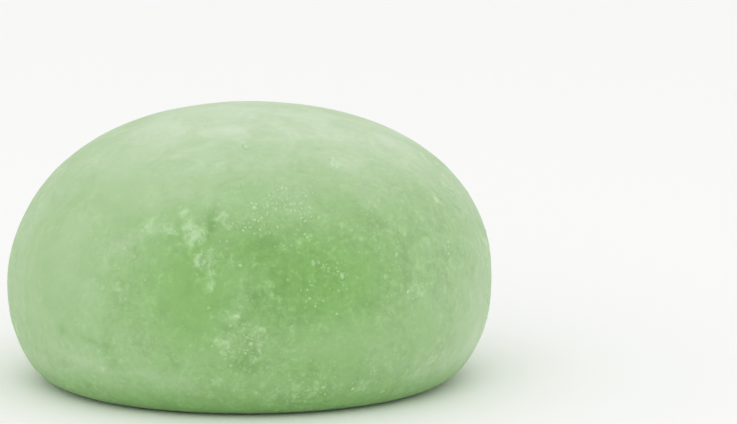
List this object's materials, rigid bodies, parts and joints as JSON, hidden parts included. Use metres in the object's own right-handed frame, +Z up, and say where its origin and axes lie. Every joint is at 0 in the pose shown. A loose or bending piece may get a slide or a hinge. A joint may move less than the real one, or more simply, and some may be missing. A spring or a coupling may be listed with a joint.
{
  "type": "mochi rice cake",
  "caption": "Whole mochi rice cake: a soft, low dome of green rice dough dusted with starch, widest a third of the way up, standing on its flat base.",
  "frame": {"origin": "centre of the flat base, under the middle of the width and depth, on the surface that the mochi stands on", "axes": "+Z up, +X to the right across the widest extent as seen from the front, +Y from front to back"},
  "size_m": [0.048, 0.0472, 0.0272],
  "materials": {
    "rice_dough": "soft, slightly translucent green rice dough under a thin, uneven dusting of white starch, matt"
  },
  "bodies": {
    "root": {"mochi": "rice_dough"}
  },
  "joints": []
}
